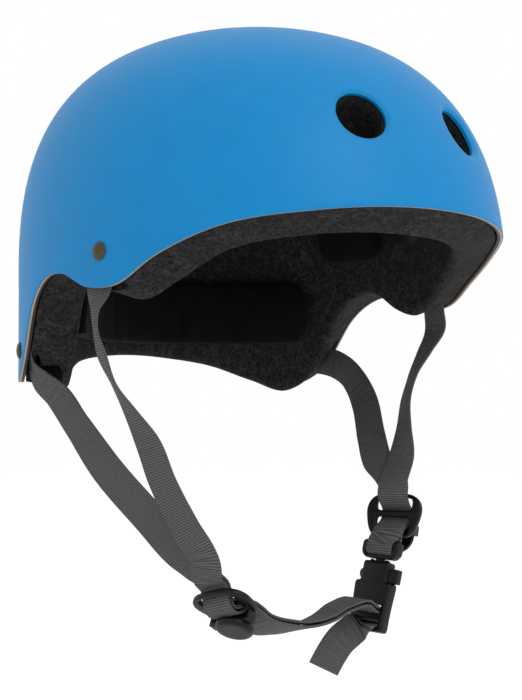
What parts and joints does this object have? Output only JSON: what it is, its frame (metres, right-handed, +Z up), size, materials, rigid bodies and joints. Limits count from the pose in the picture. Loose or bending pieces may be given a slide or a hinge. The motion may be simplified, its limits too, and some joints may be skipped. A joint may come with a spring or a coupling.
{
  "type": "water helmet",
  "caption": "Open-face water helmet with a moulded shell over a foam liner, comfort pads, riveted webbing straps, sliding splitters and a side-release chin buckle.",
  "frame": {"origin": "the flat underside of the crown pad, where the helmet rests on the top of the head", "axes": "-Y is the wearer's front, -X the wearer's right, +Z up"},
  "size_m": [0.2326, 0.2555, 0.3255],
  "materials": {
    "soft_touch_blue_abs": "soft-touch matte",
    "black_eps_foam": "mottled matte",
    "black_pad_fabric": "brushed matte",
    "black_hook_tape": "matte",
    "grey_nylon_webbing": "ribbed weave",
    "black_acetal": "satin",
    "browned_steel": "satin"
  },
  "bodies": {
    "root": {"outer_shell": "soft_touch_blue_abs", "foam_liner": "black_eps_foam", "brow_pad": "black_pad_fabric", "rear_pad": "black_pad_fabric", "right_side_pad": "black_pad_fabric", "left_side_pad": "black_pad_fabric", "crown_pad": "black_pad_fabric", "crown_patch": "black_hook_tape", "right_side_patch": "black_hook_tape", "right_brow_patch": "black_hook_tape", "right_rear_patch": "black_hook_tape", "right_front_rivet": "browned_steel", "right_front_washer": "browned_steel", "right_rear_rivet": "browned_steel", "right_rear_washer": "browned_steel", "left_side_patch": "black_hook_tape", "left_brow_patch": "black_hook_tape", "left_rear_patch": "black_hook_tape", "left_front_rivet": "browned_steel", "left_front_washer": "browned_steel", "left_rear_rivet": "browned_steel", "left_rear_washer": "browned_steel", "right_front_strap": "grey_nylon_webbing", "right_rear_strap": "grey_nylon_webbing", "left_strap": "grey_nylon_webbing", "buckle_plug": "black_acetal"},
    "right_splitter_body": {"right_splitter": "black_acetal"},
    "right_cap_body": {"right_splitter_cap": "black_acetal"},
    "left_splitter_body": {"left_splitter": "black_acetal"},
    "left_cap_body": {"left_splitter_cap": "black_acetal"},
    "front_prong_body": {"front_prong": "black_acetal"},
    "rear_prong_body": {"rear_prong": "black_acetal"},
    "socket_body": {"buckle_socket": "black_acetal"}
  },
  "joints": [
    {"name": "buckle_release", "type": "slide", "parent": "root", "child": "socket_body", "axis": [-0.2782, 0, -0.9605], "range_m": [0, 0.025], "deforming": ["right_front_strap", "right_rear_strap", "front_prong", "rear_prong"]},
    {"name": "front_prong_squeeze", "type": "hinge", "parent": "root", "child": "front_prong_body", "pos_m": [0.0497, -0.03968, -0.23382], "axis": [0.9563, 0.0936, -0.2769], "range_deg": [0, 8], "stiffness_Nm_per_rad": 0.002},
    {"name": "rear_prong_squeeze", "type": "hinge", "parent": "root", "child": "rear_prong_body", "pos_m": [0.04886, -0.03032, -0.23357], "axis": [-0.9563, -0.0936, 0.2769], "range_deg": [0, 8], "stiffness_Nm_per_rad": 0.002},
    {"name": "right_splitter_slide", "type": "slide", "parent": "root", "child": "right_splitter_body", "axis": [-0.8433, -0.018, 0.5372], "range_m": [-0.008, 0.008], "deforming": ["right_front_strap", "right_rear_strap"]},
    {"name": "left_splitter_slide", "type": "slide", "parent": "root", "child": "left_splitter_body", "axis": [0.3001, 0.094, 0.9493], "range_m": [0, 0.008], "deforming": ["left_strap"]},
    {"name": "right_cap_unlock", "type": "slide", "parent": "right_splitter_body", "child": "right_cap_body", "axis": [-0.5091, -0.2938, -0.809], "range_m": [0, 0.003]},
    {"name": "left_cap_unlock", "type": "slide", "parent": "left_splitter_body", "child": "left_cap_body", "axis": [0.9055, 0.2848, -0.3145], "range_m": [0, 0.003]}
  ],
  "couplings": [
    {"joint": "rear_prong_squeeze", "follows": "front_prong_squeeze", "ratio": 1}
  ]
}
